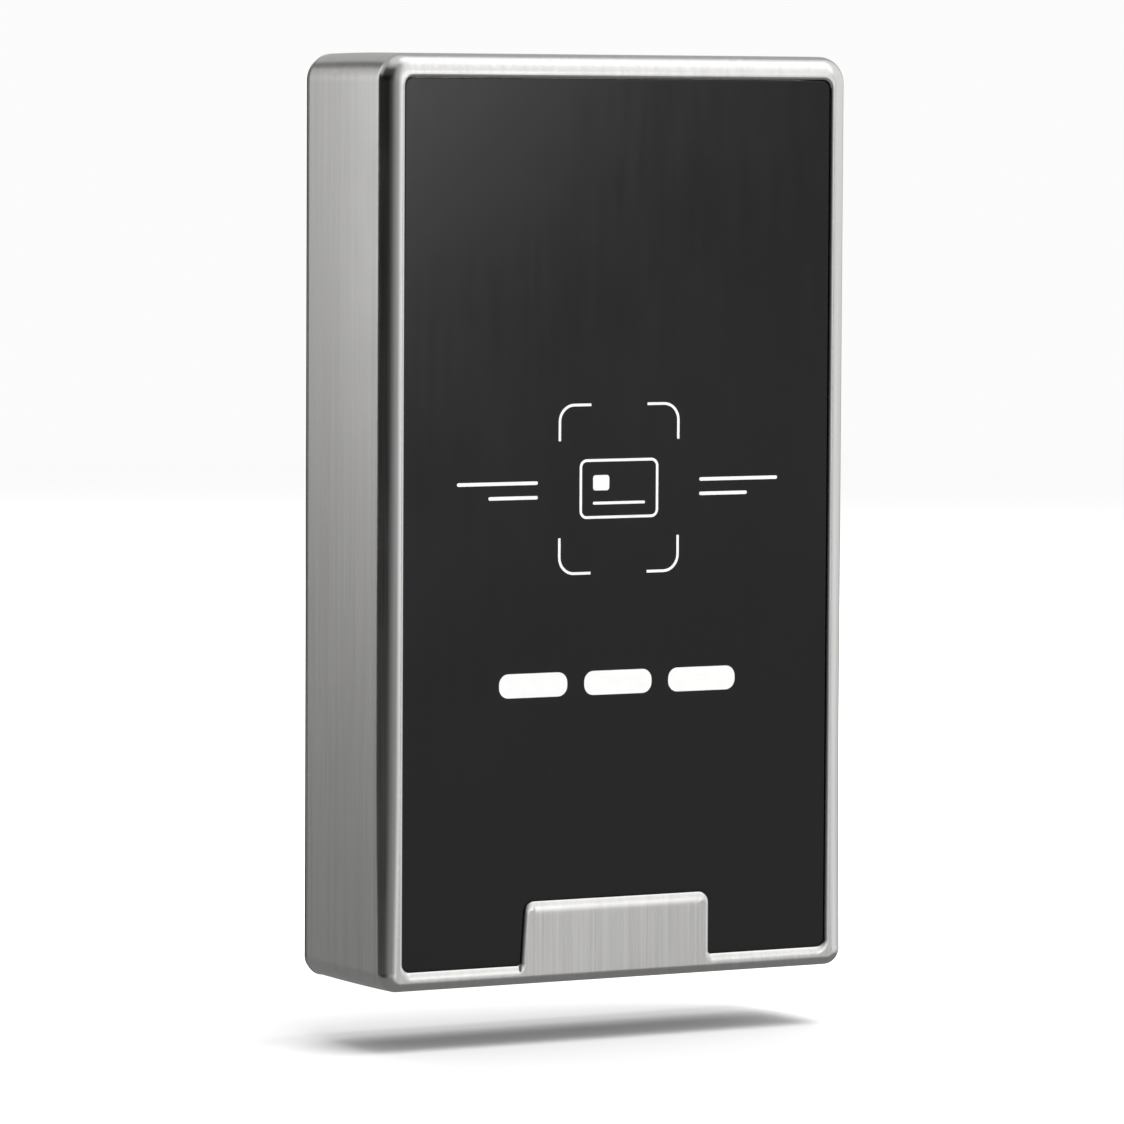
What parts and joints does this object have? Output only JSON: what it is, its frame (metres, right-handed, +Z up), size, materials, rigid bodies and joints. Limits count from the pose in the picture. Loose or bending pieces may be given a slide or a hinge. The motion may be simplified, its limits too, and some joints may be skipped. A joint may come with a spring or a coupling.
{
  "type": "contactless access reader",
  "caption": "Wall-mounted contactless access terminal: slim brushed metal housing, dark window with bottom tongue, lift-off wall plate, lock screw and tamper plunger.",
  "frame": {"origin": "on the wall plane, at the middle of the housing's width and height", "axes": "+Z up, the front faces -Y, +Y points into the wall, +X is to the right seen from the front"},
  "size_m": [0.066, 0.022, 0.115],
  "materials": {
    "brushed_steel": "vertically brushed, satin",
    "smoked_panel": "dark smoked panel, satin gloss, white printed marks",
    "white_print": "white screen-printed marks on the window",
    "black_tape": "matt black foam tape",
    "black_rubber": "matt black rubber",
    "copper_wire": "enamelled copper winding",
    "ferrite": "dark grey ferrite",
    "black_plastic": "fine textured black moulding",
    "clear_plastic": "clear acrylic",
    "led_body": "pale LED package",
    "board_green": "green solder resist",
    "pale_plastic": "natural white moulding",
    "chip_black": "black moulded package",
    "shield_metal": "tinned metal can",
    "screw_steel": "bright stainless steel",
    "zinc_steel": "zinc-plated sheet steel"
  },
  "bodies": {
    "wall_plate": {"wall_plate": "zinc_steel", "lock_nut": "screw_steel"},
    "reader": {"housing": "brushed_steel", "front_window": "smoked_panel", "window_tape": "black_tape", "wall_gasket": "black_rubber", "antenna_coil": "copper_wire", "ferrite_sheet": "ferrite", "antenna_carrier": "black_plastic", "light_guide": "clear_plastic", "status_light_red": "led_body", "status_light_green": "led_body", "status_light_blue": "led_body", "circuit_board": "board_green", "cable_connector": "pale_plastic", "microcontroller": "chip_black", "reader_chip": "chip_black", "radio_module": "shield_metal", "line_driver": "chip_black", "clock_crystal": "shield_metal", "power_regulator": "chip_black", "power_inductor": "ferrite", "filter_capacitor_1": "shield_metal", "filter_capacitor_2": "shield_metal", "buzzer": "black_plastic", "tamper_switch": "black_plastic", "rear_cover": "black_plastic", "cover_seal": "black_rubber", "cable_grommet": "black_rubber", "cover_screw_1": "screw_steel", "board_screw_1": "screw_steel", "cover_screw_2": "screw_steel", "board_screw_2": "screw_steel", "cover_screw_3": "screw_steel", "board_screw_3": "screw_steel", "cover_screw_4": "screw_steel", "board_screw_4": "screw_steel"},
    "tamper_plunger": {"tamper_plunger": "pale_plastic"},
    "lock_screw": {"lock_screw": "screw_steel"}
  },
  "joints": [
    {"name": "reader_lift", "type": "slide", "parent": "wall_plate", "child": "reader", "axis": [0, 0, 1], "range_m": [0, 0.005]},
    {"name": "lock_screw_travel", "type": "slide", "parent": "reader", "child": "lock_screw", "axis": [0, 0, -1], "range_m": [0, 0.006]},
    {"name": "tamper_plunger_travel", "type": "slide", "parent": "reader", "child": "tamper_plunger", "axis": [0, 1, 0], "range_m": [0, 0.0015], "stiffness_N_per_m": 150, "springref_m": 0.003}
  ]
}
